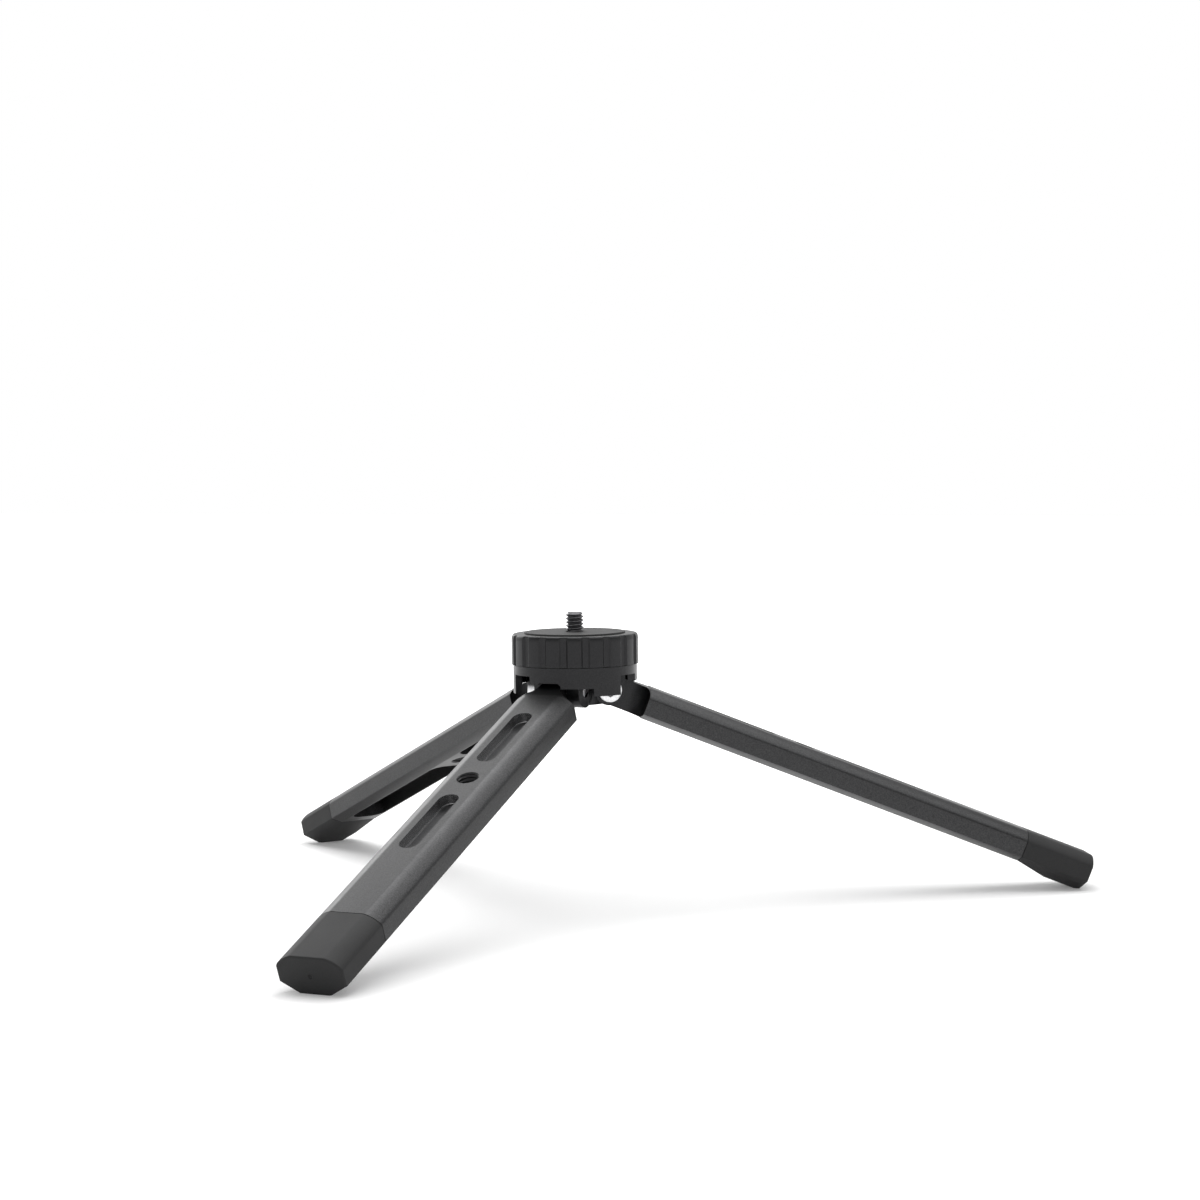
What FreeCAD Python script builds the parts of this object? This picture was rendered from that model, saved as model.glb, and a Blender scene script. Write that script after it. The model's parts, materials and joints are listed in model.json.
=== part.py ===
import FreeCAD
import Part
import math
import os

# Mini table tripod: a hub with three folding legs and a turning top with a camera screw.
# Millimetres. The origin is on the floor under the hub's axis, +Z is up and the front leg
# points along -Y. The legs are drawn open, resting on their stops.
#
# Each leg is drawn in its own frame: x runs along the leg from its hinge pin, y lies along
# the pin and z points out of the leg's top face. The hub's cuts are drawn in a frame turned
# with the leg: x runs outwards from the hub's axis, y along the pin and z straight up.

# Legs
LEG_NAMES = ("front", "right", "left")
FRONT_AZIMUTH = -90.0
LEG_SLOPE = 21.8
LEG_WIDTH = 23.2
LEG_HEIGHT = 11.2
SOCKET_WALL = 1.8
TOP_FLAT = 11.4
BOTTOM_FLAT = 15.0
SHOULDER_DROP = 3.85
SHOULDER_CROWN = 0.7
LOWER_CHAMFER_RISE = 1.9
BAR_START = 14.0
BAR_LENGTH = 144.8

# Pockets and the accessory hole in each leg
HOLE_FROM_PIN = 73.6
HOLE_DIAMETER = 6.5
TOP_POCKET_LENGTH = 34.8
TOP_POCKET_WIDTH = 7.0
TOP_POCKET_DEPTH = 3.7
TOP_POCKET_WEB = 11.3
UNDER_POCKET_LENGTH = 38.1
UNDER_POCKET_WIDTH = 14.0
UNDER_POCKET_DEPTH = 5.6
UNDER_POCKET_CORNER = 5.0
UNDER_POCKET_WEB = 8.0
UNDER_POCKET_TO_SOCKET = 1.6

# Foot caps
FOOT_LENGTH = 25.9
FOOT_DEPTH = 2.3
FOOT_RAMP = 12.0
FOOT_SOLE = 9.2
FOOT_WORN_HEIGHT = 0.7
FOOT_PLUG_LENGTH = 4.0

# Leg joints
PIN_RADIUS_FROM_AXIS = 11.4
PIN_DIAMETER = 4.0
JOINT_HEIGHT = 10.6
TONGUE_WIDTH = 8.6
FLARE_LIP = 0.3
JOINT_PLUG_LENGTH = 11.5

# Hub
HUB_RADIUS = 21.9
HUB_WALL = 2.4
HUB_PLATE = 3.15
CORE_RADIUS = 10.5
CORE_DROP = 5.2
LUG_THICKNESS = 4.8
EAR_THICKNESS = 3.2
LUG_ROUND = 5.6
SKIRT_DROP = 1.1
LUG_RIM_RISE = 1.6
EAR_RIM_RISE = 3.0
SKIRT_STEP_ACROSS = 14.9
HEAD_OPENING_TURN = 48.0
NOTCH_CHAMFER = 1.0
CLIP_RECESS = 2.6

# Hinge screws
HEAD_DIAMETER = 7.2
HEAD_HEIGHT = 3.6
SHANK_SUNK = 0.6

# Turning top
RING_RADIUS = 22.5
RING_HEIGHT = 10.7
RING_EDGE_WIDTH = 1.0
RING_EDGE_HEIGHT = 2.0
FLUTE_COUNT = 18
FIRST_FLUTE_AZIMUTH = -54.7
FLUTE_DEPTH = 0.7
FLUTE_WIDTH = 3.4
FLUTE_FLOOR = 1.8
PAD_RADIUS = 17.8
PAD_THICKNESS = 2.0
PAD_PROUD = 0.6
CAMERA_THREAD = 6.35
CAMERA_THREAD_LENGTH = 6.8
CAMERA_THREAD_POINT = 0.8
THREAD_RELIEF = 0.4
NECK_DIAMETER = 5.0
SPINDLE_DIAMETER = 6.0
SPINDLE_TAIL = 1.2
CLIP_RADIUS = 4.4
CLIP_THICKNESS = 1.0

# Clearances
SWING_GAP = 0.3
TURN_GAP = 0.2
CLIP_GAP = 0.5
PIN_FIT = 0.05
SEAT_FIT = 0.1
STOP_GAP = 0.12

SLOPE = math.radians(LEG_SLOPE)
PIN_RADIUS = PIN_DIAMETER / 2
JOINT_ROUND = JOINT_HEIGHT / 2
BAR_END = BAR_START + BAR_LENGTH
LEG_END = BAR_END + FOOT_LENGTH
FOOT_UNDERSIDE = LEG_HEIGHT / 2 + FOOT_DEPTH
PIN_HEIGHT = LEG_END * math.sin(SLOPE) + FOOT_UNDERSIDE * math.cos(SLOPE) - FOOT_WORN_HEIGHT
TONGUE_HALF = TONGUE_WIDTH / 2
NOTCH_HALF = TONGUE_HALF + SWING_GAP
LUG_OUTSIDE = NOTCH_HALF + LUG_THICKNESS
EAR_OUTSIDE = NOTCH_HALF + EAR_THICKNESS
PLATE_UNDERSIDE = PIN_HEIGHT + JOINT_ROUND + SWING_GAP
HUB_TOP = PLATE_UNDERSIDE + HUB_PLATE
CORE_BOTTOM = PIN_HEIGHT - CORE_DROP
CLIP_SEAT = CORE_BOTTOM + CLIP_RECESS
SKIRT_BOTTOM = PIN_HEIGHT - SKIRT_DROP
SKIRT_INSIDE = HUB_RADIUS - HUB_WALL
RING_BOTTOM = HUB_TOP + TURN_GAP
RING_TOP = RING_BOTTOM + RING_HEIGHT
PAD_TOP = RING_TOP + PAD_PROUD
PAD_BOTTOM = PAD_TOP - PAD_THICKNESS
CLIP_TOP = CLIP_SEAT - TURN_GAP
SPINDLE_BOTTOM = CLIP_TOP - CLIP_THICKNESS - SPINDLE_TAIL
FAR = 2 * HUB_RADIUS

UP = FreeCAD.Vector(0, 0, 1)
ALONG = FreeCAD.Vector(1, 0, 0)
ACROSS = FreeCAD.Vector(0, 1, 0)


def vec(x, y, z):
    return FreeCAD.Vector(x, y, z)


def span_box(low, high):
    """Box between two opposite corners."""
    size = high - low
    return Part.makeBox(size.x, size.y, size.z, low)


def prism(points, direction):
    """Straight prism on a closed polygon."""
    return Part.Face(Part.makePolygon(points + points[:1])).extrude(direction)


def joined(first, *others):
    """One clean solid from touching solids."""
    return first.fuse(list(others)).removeSplitter().Solids[0]


def revolved(profile):
    """Solid of revolution about Z from (radius, height) points."""
    points = [vec(radius, 0, height) for radius, height in profile]
    face = Part.Face(Part.makePolygon(points + points[:1]))
    return face.revolve(vec(0, 0, 0), UP, 360)


def ring_solid(outer, inner, bottom, top):
    return revolved([(inner, bottom), (outer, bottom), (outer, top), (inner, top)])


def pin_hole(radius, pin_x, pin_z):
    """Cylinder along the hinge pin, long enough to pass through everything."""
    return Part.makeCylinder(radius, 2 * FAR, vec(pin_x, -FAR, pin_z), ACROSS)


# Leg section and leg pieces

def leg_outline(inset, x):
    """Leg section at a distance along the leg: flat top, crowned shoulders, chamfered below."""
    half = LEG_WIDTH / 2
    top = LEG_HEIGHT / 2
    shoulder = top - SHOULDER_DROP
    side_low = LOWER_CHAMFER_RISE - top
    flat = TOP_FLAT / 2
    sole = BOTTOM_FLAT / 2
    chord = math.hypot(half - flat, SHOULDER_DROP)
    crown_y = (flat + half) / 2 + SHOULDER_CROWN * SHOULDER_DROP / chord
    crown_z = (top + shoulder) / 2 + SHOULDER_CROWN * (half - flat) / chord
    right = [vec(x, half, shoulder), vec(x, half, side_low), vec(x, sole, -top)]
    left = [vec(x, -sole, -top), vec(x, -half, side_low), vec(x, -half, shoulder)]
    crown_right = Part.Arc(vec(x, flat, top), vec(x, crown_y, crown_z), right[0]).toShape()
    crown_left = Part.Arc(left[-1], vec(x, -crown_y, crown_z), vec(x, -flat, top)).toShape()
    lower = Part.makePolygon(right + left).Edges
    flat_top = Part.makeLine(vec(x, -flat, top), vec(x, flat, top))
    wire = Part.Wire([flat_top, crown_right] + lower + [crown_left])
    if inset:
        wire = wire.makeOffset2D(-inset)
    return wire


def leg_prism(inset, start, end):
    return Part.Face(leg_outline(inset, start)).extrude(vec(end - start, 0, 0))


def slot_cutter(start, end, width, bottom, top):
    """Round-ended slot along the leg, cut between two heights."""
    radius = width / 2
    first = Part.makeCylinder(radius, top - bottom, vec(start + radius, 0, bottom))
    last = Part.makeCylinder(radius, top - bottom, vec(end - radius, 0, bottom))
    middle = span_box(vec(start + radius, -radius, bottom), vec(end - radius, radius, top))
    return joined(middle, first, last)


def pocket_cutter(start, end, bottom, top):
    """Pocket of the underside with rounded corners, cut between two heights."""
    half = UNDER_POCKET_WIDTH / 2
    block = span_box(vec(start, -half, bottom), vec(end, half, top))
    corners = [edge for edge in block.Edges if edge.BoundBox.ZLength > (top - bottom) / 2]
    return block.makeFillet(UNDER_POCKET_CORNER, corners)


def leg_bar():
    """Milled bar with pockets in its top and underside, a hole between them and a socket in each end."""
    bar = leg_prism(0, BAR_START, BAR_END)
    top = LEG_HEIGHT / 2
    top_floor = top - TOP_POCKET_DEPTH
    upper_end = HOLE_FROM_PIN - TOP_POCKET_WEB
    lower_start = HOLE_FROM_PIN + TOP_POCKET_WEB
    under_floor = UNDER_POCKET_DEPTH - top
    under_upper_end = HOLE_FROM_PIN - UNDER_POCKET_WEB
    foot_socket = BAR_END - FOOT_PLUG_LENGTH - SEAT_FIT
    under_lower_end = foot_socket - UNDER_POCKET_TO_SOCKET
    cutters = [
        Part.makeCylinder(HOLE_DIAMETER / 2, 2 * LEG_HEIGHT, vec(HOLE_FROM_PIN, 0, -LEG_HEIGHT)),
        slot_cutter(upper_end - TOP_POCKET_LENGTH, upper_end, TOP_POCKET_WIDTH, top_floor, LEG_HEIGHT),
        slot_cutter(lower_start, lower_start + TOP_POCKET_LENGTH, TOP_POCKET_WIDTH, top_floor, LEG_HEIGHT),
        pocket_cutter(under_upper_end - UNDER_POCKET_LENGTH, under_upper_end, -LEG_HEIGHT, under_floor),
        pocket_cutter(HOLE_FROM_PIN + UNDER_POCKET_WEB, under_lower_end, -LEG_HEIGHT, under_floor),
        leg_prism(SOCKET_WALL, BAR_START, BAR_START + JOINT_PLUG_LENGTH + SEAT_FIT),
        leg_prism(SOCKET_WALL, foot_socket, BAR_END),
    ]
    return bar.cut(cutters).removeSplitter().Solids[0]


def leg_joint():
    """Hinge block: a tongue rounded about the pin that flares out to the bar and plugs into it."""
    side = prism(
        [vec(0, -LEG_WIDTH, -JOINT_ROUND), vec(BAR_START, -LEG_WIDTH, -JOINT_ROUND),
         vec(BAR_START, -LEG_WIDTH, JOINT_ROUND), vec(0, -LEG_WIDTH, JOINT_ROUND)],
        vec(0, 2 * LEG_WIDTH, 0))
    side = joined(side, Part.makeCylinder(JOINT_ROUND, 2 * LEG_WIDTH, vec(0, -LEG_WIDTH, 0), ACROSS))
    flare_radius = LEG_WIDTH / 2 - TONGUE_HALF - FLARE_LIP
    flare_start = BAR_START - flare_radius
    tongue = span_box(vec(-JOINT_ROUND, -TONGUE_HALF, -LEG_HEIGHT), vec(BAR_START, TONGUE_HALF, LEG_HEIGHT))
    flare = span_box(vec(flare_start, -LEG_WIDTH, -LEG_HEIGHT), vec(BAR_START, LEG_WIDTH, LEG_HEIGHT))
    for sign in (-1, 1):
        centre = vec(flare_start, sign * (TONGUE_HALF + flare_radius), -LEG_HEIGHT)
        flare = flare.cut(Part.makeCylinder(flare_radius, 2 * LEG_HEIGHT, centre))
    outline = leg_prism(0, flare_start, BAR_START)
    body = joined(tongue, flare.common(outline)).common(side)
    plug = leg_prism(SOCKET_WALL + SEAT_FIT, BAR_START, BAR_START + JOINT_PLUG_LENGTH)
    body = joined(body, plug)
    return body.cut(pin_hole(PIN_RADIUS + PIN_FIT, 0, 0)).Solids[0]


def keel_section(x, depth, flat):
    """Lower part of a foot's section, from its side edges down to a flat."""
    half = LEG_WIDTH / 2
    sole = flat / 2
    side_low = LOWER_CHAMFER_RISE - LEG_HEIGHT / 2
    bottom = -LEG_HEIGHT / 2 - depth
    return [vec(x, half, side_low), vec(x, sole, bottom), vec(x, -sole, bottom), vec(x, -half, side_low)]


def keel_ramp(first, last):
    """Solid between two keel sections, its sides folded outwards where they twist."""
    a, b, c, d = first
    e, f, g, h = last
    flats = [
        [a, b, c, d],
        [b, a, f],
        [a, e, f],
        [c, b, f, g],
        [d, c, g],
        [d, g, h],
        [a, d, h, e],
        [h, g, f, e],
    ]
    faces = [Part.Face(Part.makePolygon(points + points[:1])) for points in flats]
    return Part.makeSolid(Part.makeShell(faces))


def foot_cap():
    """Rubber end cap: the leg's section with a keel that ramps down to the sole, and a plug."""
    cap = leg_prism(0, BAR_END, LEG_END)
    start = keel_section(BAR_END, 0, BOTTOM_FLAT)
    sole = keel_section(BAR_END + FOOT_RAMP, FOOT_DEPTH, FOOT_SOLE)
    keel = prism(sole, vec(FOOT_LENGTH - FOOT_RAMP, 0, 0))
    plug = leg_prism(SOCKET_WALL + SEAT_FIT, BAR_END - FOOT_PLUG_LENGTH, BAR_END)
    return joined(cap, keel_ramp(start, sole), keel, plug)


def open_leg(shape, azimuth):
    """A leg piece moved from the leg's own frame to its open place."""
    shape = shape.copy()
    shape.rotate(vec(0, 0, 0), ACROSS, LEG_SLOPE)
    shape.translate(vec(PIN_RADIUS_FROM_AXIS, 0, PIN_HEIGHT))
    shape.rotate(vec(0, 0, 0), UP, azimuth)
    return shape


def turned(shape, azimuth):
    shape = shape.copy()
    shape.rotate(vec(0, 0, 0), UP, azimuth)
    return shape


def on_floor(shape):
    """The part of a shape above the floor: the sole's edge is worn flat where it stands."""
    reach = 2 * (PIN_RADIUS_FROM_AXIS + LEG_END)
    return shape.common(span_box(vec(-reach, -reach, 0), vec(reach, reach, reach))).Solids[0]


# Hub

def hub_lug(low, high):
    """Plate beside the tongue, rounded about the pin and hanging from the hub's plate."""
    width = high - low
    disc = Part.makeCylinder(LUG_ROUND, width, vec(PIN_RADIUS_FROM_AXIS, low, PIN_HEIGHT), ACROSS)
    web = span_box(vec(PIN_RADIUS_FROM_AXIS - LUG_ROUND, low, PIN_HEIGHT),
                   vec(PIN_RADIUS_FROM_AXIS + LUG_ROUND, high, HUB_TOP - HUB_PLATE / 2))
    return joined(web, disc)


def tongue_slot():
    """Slot in the hub's core that the round end of a tongue turns in."""
    back = PIN_RADIUS_FROM_AXIS - JOINT_ROUND - SWING_GAP
    return span_box(vec(back, -NOTCH_HALF, PIN_HEIGHT - FAR), vec(FAR, NOTCH_HALF, PLATE_UNDERSIDE))


def notch_cutter():
    """Gap in the skirt that the tongue swings through, with chamfered upper corners."""
    wall_x = math.sqrt(SKIRT_INSIDE ** 2 - TONGUE_HALF ** 2)
    tongue_top = (JOINT_ROUND - (wall_x - PIN_RADIUS_FROM_AXIS) * math.sin(SLOPE)) / math.cos(SLOPE)
    ceiling = PIN_HEIGHT + tongue_top + STOP_GAP + NOTCH_CHAMFER - SWING_GAP
    low = PIN_HEIGHT - FAR
    points = [
        vec(0, -NOTCH_HALF, low),
        vec(0, -NOTCH_HALF, ceiling - NOTCH_CHAMFER),
        vec(0, -NOTCH_HALF + NOTCH_CHAMFER, ceiling),
        vec(0, NOTCH_HALF - NOTCH_CHAMFER, ceiling),
        vec(0, NOTCH_HALF, ceiling - NOTCH_CHAMFER),
        vec(0, NOTCH_HALF, low),
    ]
    return prism(points, vec(FAR, 0, 0))


def skirt_cuts():
    """What one leg takes out of the skirt: the screw head's opening, the raised rims and the notch."""
    low = PIN_HEIGHT - FAR
    opening_slope = math.tan(math.radians(HEAD_OPENING_TURN))
    opening = prism(
        [vec(EAR_OUTSIDE / opening_slope, -EAR_OUTSIDE, low), vec(FAR, -FAR * opening_slope, low),
         vec(FAR, -EAR_OUTSIDE, low)],
        vec(0, 0, PLATE_UNDERSIDE - low))
    ear_rim = span_box(vec(0, -EAR_OUTSIDE, low), vec(FAR, 0, PIN_HEIGHT + EAR_RIM_RISE))
    lug_rim = span_box(vec(0, 0, low), vec(FAR, SKIRT_STEP_ACROSS, PIN_HEIGHT + LUG_RIM_RISE))
    return [opening, ear_rim, lug_rim, notch_cutter()]


def screw_hole():
    """Hinge screw's hole through one pair of lugs."""
    return Part.makeCylinder(PIN_RADIUS + PIN_FIT, EAR_OUTSIDE + LUG_OUTSIDE,
                             vec(PIN_RADIUS_FROM_AXIS, -EAR_OUTSIDE, PIN_HEIGHT), ACROSS)


def hub_body():
    """Round hub: a top plate with a skirt, a slotted core and a pair of hinge lugs for each leg."""
    middle = HUB_TOP - HUB_PLATE / 2
    plate = Part.makeCylinder(HUB_RADIUS, HUB_PLATE, vec(0, 0, PLATE_UNDERSIDE))
    core = Part.makeCylinder(CORE_RADIUS, middle - CORE_BOTTOM, vec(0, 0, CORE_BOTTOM))
    skirt = ring_solid(HUB_RADIUS, SKIRT_INSIDE, SKIRT_BOTTOM, middle)
    lugs = []
    bores = [
        Part.makeCylinder(SPINDLE_DIAMETER / 2 + PIN_FIT, FAR, vec(0, 0, CORE_BOTTOM)),
        Part.makeCylinder(CLIP_RADIUS + CLIP_GAP, CLIP_RECESS, vec(0, 0, CORE_BOTTOM)),
    ]
    for azimuth in leg_azimuths():
        core = core.cut(turned(tongue_slot(), azimuth))
        skirt = skirt.cut([turned(cut, azimuth) for cut in skirt_cuts()])
        lugs.append(turned(hub_lug(NOTCH_HALF, LUG_OUTSIDE), azimuth))
        lugs.append(turned(hub_lug(-EAR_OUTSIDE, -NOTCH_HALF), azimuth))
        bores.append(turned(screw_hole(), azimuth))
    hub = plate.fuse([core, skirt] + lugs)
    return hub.cut(bores).removeSplitter().Solids[0]


def hinge_screw():
    """Cap screw along the hinge pin's line, its head on the thinner lug and its end sunk in the other."""
    radius = HEAD_DIAMETER / 2
    length = EAR_OUTSIDE + LUG_OUTSIDE - SHANK_SUNK
    screw = revolved([
        (0, -length),
        (PIN_RADIUS, -length),
        (PIN_RADIUS, 0),
        (radius, 0),
        (radius, HEAD_HEIGHT),
        (0, HEAD_HEIGHT),
    ])
    screw.rotate(vec(0, 0, 0), ALONG, 90)
    screw.translate(vec(PIN_RADIUS_FROM_AXIS, -EAR_OUTSIDE, PIN_HEIGHT))
    return screw


# Turning top

def grip_ring():
    """Fluted hand ring on the spindle, with a recess for the pad."""
    bore = SPINDLE_DIAMETER / 2 + SEAT_FIT
    ring = revolved([
        (bore, RING_BOTTOM),
        (RING_RADIUS, RING_BOTTOM),
        (RING_RADIUS, RING_TOP - RING_EDGE_HEIGHT),
        (RING_RADIUS - RING_EDGE_WIDTH, RING_TOP),
        (PAD_RADIUS + SEAT_FIT, RING_TOP),
        (PAD_RADIUS + SEAT_FIT, PAD_BOTTOM),
        (bore, PAD_BOTTOM),
    ])
    splay = FLUTE_WIDTH - FLUTE_FLOOR
    floor = RING_RADIUS - FLUTE_DEPTH
    mouth = RING_RADIUS + FLUTE_DEPTH
    flute = prism(
        [vec(floor, -FLUTE_FLOOR / 2, RING_BOTTOM), vec(mouth, -FLUTE_FLOOR / 2 - splay, RING_BOTTOM),
         vec(mouth, FLUTE_FLOOR / 2 + splay, RING_BOTTOM), vec(floor, FLUTE_FLOOR / 2, RING_BOTTOM)],
        vec(0, 0, RING_HEIGHT))
    step = 360.0 / FLUTE_COUNT
    return ring.cut([turned(flute, FIRST_FLUTE_AZIMUTH + step * k) for k in range(FLUTE_COUNT)]).Solids[0]


def top_pad():
    """Rubber disc that the camera sits on."""
    return ring_solid(PAD_RADIUS, CAMERA_THREAD / 2 + SEAT_FIT, PAD_BOTTOM, PAD_TOP)


def mount_screw():
    """Camera screw with a spindle down through the ring and the hub."""
    thread = CAMERA_THREAD / 2
    neck = NECK_DIAMETER / 2
    spindle = SPINDLE_DIAMETER / 2
    tip = PAD_TOP + CAMERA_THREAD_LENGTH
    return revolved([
        (0, SPINDLE_BOTTOM),
        (spindle, SPINDLE_BOTTOM),
        (spindle, PAD_BOTTOM),
        (neck, PAD_BOTTOM),
        (neck, PAD_TOP + THREAD_RELIEF),
        (thread, PAD_TOP + THREAD_RELIEF),
        (thread, tip - CAMERA_THREAD_POINT),
        (thread - CAMERA_THREAD_POINT, tip),
        (0, tip),
    ])


def spindle_clip():
    """Retaining ring round the spindle's end, in the recess under the hub's core."""
    return ring_solid(CLIP_RADIUS, SPINDLE_DIAMETER / 2 + SEAT_FIT, CLIP_TOP - CLIP_THICKNESS, CLIP_TOP)


def leg_azimuths():
    """Azimuth of each leg, evenly spaced about the hub's axis."""
    step = 360.0 / len(LEG_NAMES)
    return [FRONT_AZIMUTH + step * k for k in range(len(LEG_NAMES))]


def save(node, shape):
    shape.exportStep(os.path.join("parts", node + ".step"))


def main():
    os.makedirs("parts", exist_ok=True)
    save("hub_body", hub_body())
    save("grip_ring", grip_ring())
    save("top_pad", top_pad())
    save("mount_screw", mount_screw())
    save("spindle_clip", spindle_clip())
    bar = leg_bar()
    joint = leg_joint()
    cap = foot_cap()
    screw = hinge_screw()
    for name, azimuth in zip(LEG_NAMES, leg_azimuths()):
        save("hinge_screw_" + name, turned(screw, azimuth))
        save("leg_joint_" + name, open_leg(joint, azimuth))
        save("leg_bar_" + name, open_leg(bar, azimuth))
        save("foot_cap_" + name, on_floor(open_leg(cap, azimuth)))


main()
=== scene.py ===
import json
import math

import bmesh
import bpy
from mathutils import Matrix, Vector

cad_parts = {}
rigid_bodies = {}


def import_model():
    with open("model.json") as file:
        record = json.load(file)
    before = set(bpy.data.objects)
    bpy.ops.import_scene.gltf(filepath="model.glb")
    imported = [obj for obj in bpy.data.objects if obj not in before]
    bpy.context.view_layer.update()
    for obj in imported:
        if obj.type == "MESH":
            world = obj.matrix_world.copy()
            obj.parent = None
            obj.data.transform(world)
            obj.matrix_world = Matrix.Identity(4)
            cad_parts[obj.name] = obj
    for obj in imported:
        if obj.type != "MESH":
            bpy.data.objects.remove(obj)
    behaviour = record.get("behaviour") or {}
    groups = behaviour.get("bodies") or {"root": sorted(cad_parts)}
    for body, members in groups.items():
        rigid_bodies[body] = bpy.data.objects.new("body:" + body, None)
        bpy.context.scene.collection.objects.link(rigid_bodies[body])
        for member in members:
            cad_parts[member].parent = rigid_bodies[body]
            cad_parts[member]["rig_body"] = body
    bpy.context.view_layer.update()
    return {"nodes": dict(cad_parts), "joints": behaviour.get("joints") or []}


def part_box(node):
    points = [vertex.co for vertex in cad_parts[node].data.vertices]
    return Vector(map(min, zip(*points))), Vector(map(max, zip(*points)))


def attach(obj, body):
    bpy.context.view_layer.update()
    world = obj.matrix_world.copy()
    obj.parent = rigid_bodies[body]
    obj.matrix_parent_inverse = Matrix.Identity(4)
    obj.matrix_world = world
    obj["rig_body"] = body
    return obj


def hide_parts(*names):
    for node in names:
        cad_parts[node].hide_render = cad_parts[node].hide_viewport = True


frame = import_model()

bl_info = {
    "name": "Mini Tripod",
    "version": (1, 0, 0),
    "blender": (4, 5, 0),
    "location": "View3D > Sidebar > Tripod",
    "description": "Models the visible pieces of a folding table tripod, their finishes and a studio stage",
    "category": "Object",
}

MM = 0.001
# Places closer together than this count as the same place
NEAR = 0.01 * MM
# Edges that turn more than this are broken, and shaded as edges
SHARP = math.radians(38)
LEGS = ("front", "right", "left")
# Face attribute that marks the side-cut walls of the pockets. Their brighter colour is painted light, and
# their lower roughness is a smoother finish
SMOOTH_WALL_PAINTED_LIGHT = "smooth_wall_painted_light"
# Steps that a thread takes along one turn's rise
THREAD_STEPS = 12

# Place and width of each lamp, and the point that they look at
KEY_LAMP = ((0.05, 0.2, 1.2), 1.75)
SPOT_LAMP = ((-0.2, 0.62, 1.15), 0.5)
RIM_LAMP = ((-1.15, 0.75, 0.8), 0.8)
LAMP_AIM = (0, 0, 0.05)


# Properties

def length(name, description, millimetres):
    """Property for a length, given in millimetres."""
    return bpy.props.FloatProperty(
        name=name, description=description, default=millimetres * MM, unit="LENGTH")


def colour(name, description, level):
    """Property for a colour, in linear parts of red, green and blue."""
    return bpy.props.FloatVectorProperty(
        name=name, description=description, default=level, size=3, subtype="COLOR", min=0.0, max=1.0)


def power(name, description, watts):
    """Property for a lamp's power."""
    return bpy.props.FloatProperty(name=name, description=description, default=watts, min=0.0, unit="POWER")


def angle(name, description, degrees):
    """Property for an angle, given in degrees."""
    return bpy.props.FloatProperty(
        name=name, description=description, default=math.radians(degrees), subtype="ANGLE")


class LegSizes(bpy.types.PropertyGroup):
    """Sizes of one leg, in its own frame: x along the leg from its pin, z out of its top."""
    slope: angle("Slope", "Fall of the open leg", 21.8)
    width: length("Width", "Leg from side to side", 23.2)
    height: length("Height", "Leg from its top flat to its underside", 11.2)
    top_flat: length("Top flat", "Width of the flat along the top", 11.4)
    bottom_flat: length("Bottom flat", "Width of the flat along the underside", 15.0)
    shoulder_drop: length("Shoulder drop", "Height of the crowned shoulders", 3.85)
    lower_rise: length("Lower rise", "Height of the lower chamfers", 1.9)
    bar_start: length("Bar start", "Bar's upper end from the pin", 14.0)
    bar_end: length("Bar end", "Bar's lower end from the pin", 158.8)
    socket_wall: length("Socket wall", "Wall round the socket in each end of the bar", 1.8)
    joint_socket: length("Upper socket", "Depth of the socket for the leg joint", 11.6)
    foot_socket: length("Lower socket", "Depth of the socket for the foot cap", 4.1)
    hole_from_pin: length("Hole place", "Accessory hole from the pin", 73.6)
    hole_diameter: length("Hole diameter", "Accessory hole through the leg, inside its thread", 6.5)
    hole_thread: length("Hole thread", "Depth of the thread in the accessory hole", 0.5)
    hole_pitch: length("Hole pitch", "Rise of one turn of the accessory hole's thread", 1.27)
    hole_chamfer: length("Hole chamfer", "Chamfer at the ends of the accessory hole", 0.6)
    pocket_web: length("Web", "From the hole's middle to the top pocket on each side of it", 11.3)
    pocket_length: length("Pocket length", "Pockets in the top", 34.8)
    pocket_width: length("Pocket width", "Pockets in the top", 7.0)
    pocket_depth: length("Pocket depth", "Pockets in the top", 3.7)
    pocket_fillet: length("Pocket fillet", "Rounding round the floor of a pocket", 0.5)
    under_web: length("Lower web", "From the hole's middle to the lower pocket on each side of it", 8.0)
    under_length: length("Lower pocket length", "Shorter pocket in the underside", 38.1)
    under_end: length("Lower pocket end", "End of the longer pocket in the underside, from the pin", 153.1)
    under_width: length("Lower pocket width", "Pockets in the underside", 14.0)
    under_depth: length("Lower pocket depth", "Pockets in the underside", 5.6)
    under_corner: length("Lower pocket corner", "Corners of the pockets in the underside", 5.0)
    foot_end: length("Foot end", "End of the foot cap from the pin", 184.7)
    foot_ramp: length("Foot ramp", "Length of the ramp down to the sole", 12.0)
    foot_depth: length("Foot depth", "Depth of the sole below the leg", 2.3)
    foot_sole: length("Foot sole", "Width of the sole", 9.2)
    foot_round: length("Foot rounding", "Rounding of the foot cap's end", 0.7)
    foot_seam: length("Foot seam", "Width of the groove between the bar and the foot cap", 0.25)
    seam_depth: length("Seam depth", "Depth of the groove between the bar and the foot cap", 0.5)
    gate_mark: length("Gate mark", "Diameter of the moulding mark in the cap's end", 1.6)
    gate_height: length("Gate height", "Moulding mark below the leg's middle", 1.0)
    plug: length("Plug", "Foot cap's plug in the bar", 4.0)
    plug_fit: length("Plug fit", "Gap between the plug and its socket", 0.1)
    edge: length("Edge", "Broken edges of the leg", 0.3)


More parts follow.
